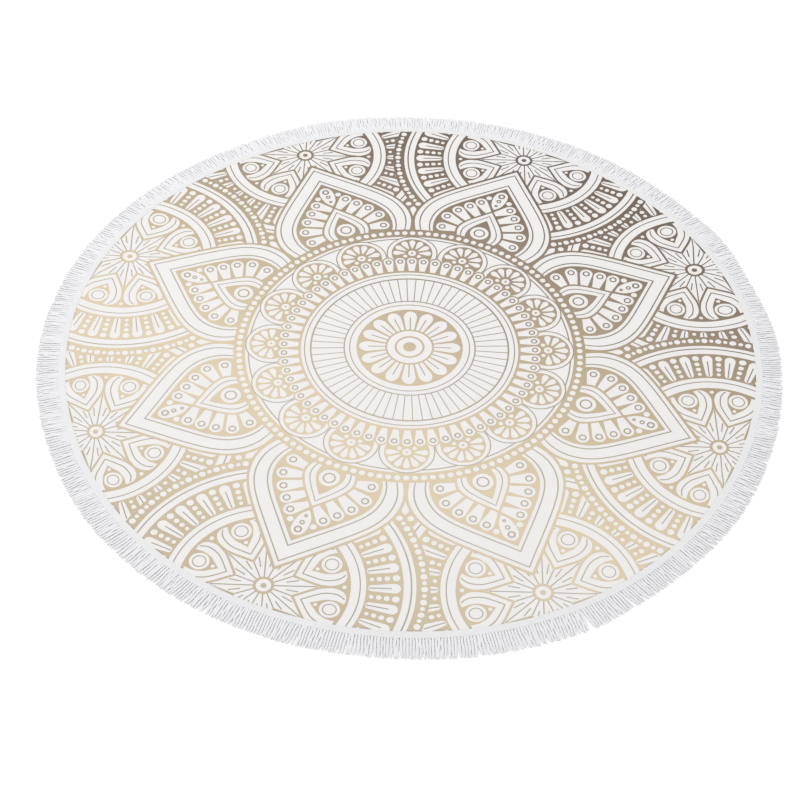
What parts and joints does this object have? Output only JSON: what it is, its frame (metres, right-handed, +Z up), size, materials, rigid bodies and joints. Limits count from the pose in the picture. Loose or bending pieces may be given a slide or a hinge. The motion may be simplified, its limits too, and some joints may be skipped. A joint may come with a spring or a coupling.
{
  "type": "round beach towel",
  "caption": "Round beach towel lying flat: a thin white cloth disc with a gold mandala print and a fringe of white cords all round its edge.",
  "frame": {"origin": "middle of the flat underside that lies on the ground", "axes": "+Z up out of the printed face, +Y to the side of the towel that is farthest from the camera in the picture"},
  "size_m": [1.4952, 1.5029, 0.003],
  "materials": {
    "printed_cloth": "matt short-pile cloth, white with a gold print",
    "fringe_yarn": "matt twisted yarn, white"
  },
  "bodies": {
    "root": {"cloth": "printed_cloth", "fringe": "fringe_yarn"}
  },
  "joints": []
}
